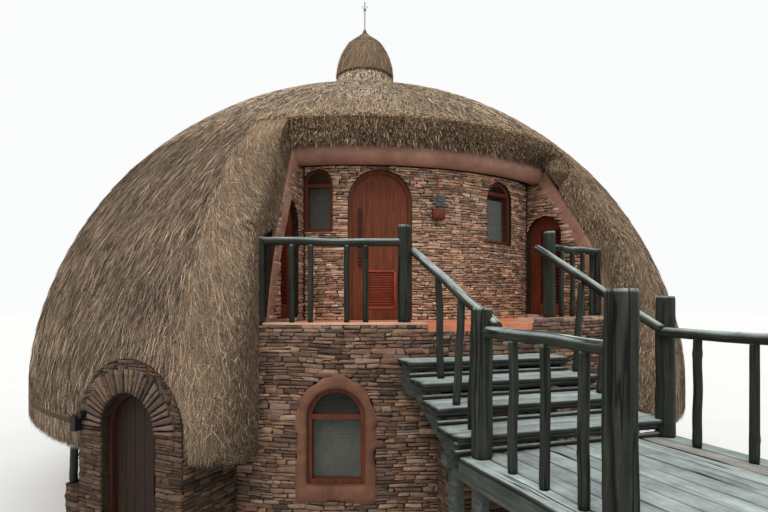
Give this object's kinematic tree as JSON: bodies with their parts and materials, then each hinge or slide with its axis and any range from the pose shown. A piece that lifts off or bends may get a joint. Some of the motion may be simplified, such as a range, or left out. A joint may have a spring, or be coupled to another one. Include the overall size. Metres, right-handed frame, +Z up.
{
  "type": "rondavel hut",
  "caption": "Two-storey round stone hut under a dome of thatch cut away over a raised terrace, with a timber stair and deck and an arched porch with a door that opens.",
  "frame": {"origin": "on the axis of the dome at ground level", "axes": "+Z up, the terrace and the stair face -Y, +X to the right seen from the stair"},
  "size_m": [12.4125, 16.5192, 9.98],
  "materials": {
    "stone": "dry-laid thin stones",
    "slab": "concrete, smooth",
    "screed": "coloured cement, smooth",
    "plaster": "hand-smoothed plaster",
    "sill": "hand-smoothed plaster",
    "joinery": "oiled",
    "dark_door": "oiled",
    "metal": "matt",
    "spike_metal": "weathered",
    "thatch": "combed grass",
    "poles": "weathered paint",
    "boards": "weathered paint",
    "glass": "plain"
  },
  "bodies": {
    "house": {"ground_floor_slab": "slab", "lower_wall_front": "stone", "lower_wall_right": "stone", "lower_wall_back": "stone", "lower_wall_left": "stone", "lower_wall_over_door": "stone", "porch_walls": "stone", "porch_arch": "stone", "porch_arch_stones": "stone", "porch_post": "poles", "porch_lamp": "metal", "ground_door_frame": "joinery", "lower_window_surround": "sill", "lower_window_frame": "joinery", "window_glass": "glass", "upper_floor": "slab", "terrace_floor": "screed", "terrace_coping": "stone", "niche_back_wall": "stone", "cheek_walls": "stone", "knee_wall": "stone", "main_door_frame": "joinery", "main_door": "joinery", "louvre_doors": "joinery", "upper_window_frames": "joinery", "wall_lamp": "metal", "ring_beam": "plaster", "raker_beams": "plaster", "thatch_crown": "thatch", "thatch_left": "thatch", "thatch_back": "thatch", "thatch_right": "thatch", "thatch_verges": "thatch", "thatch_cap": "thatch", "spike": "spike_metal", "stair_pier": "stone", "stair_bearers": "poles", "stair_treads": "boards", "riser_logs": "poles", "posts": "poles", "handrails": "poles", "balusters": "poles", "deck_boards": "boards", "deck_frame": "boards"},
    "door_leaf": {"ground_door": "dark_door"}
  },
  "joints": [
    {"name": "ground_door_hinge", "type": "hinge", "parent": "house", "child": "door_leaf", "pos_m": [-4.18478, -4.21601, 1], "axis": [0, 0, 1], "range_deg": [0, 90]}
  ]
}
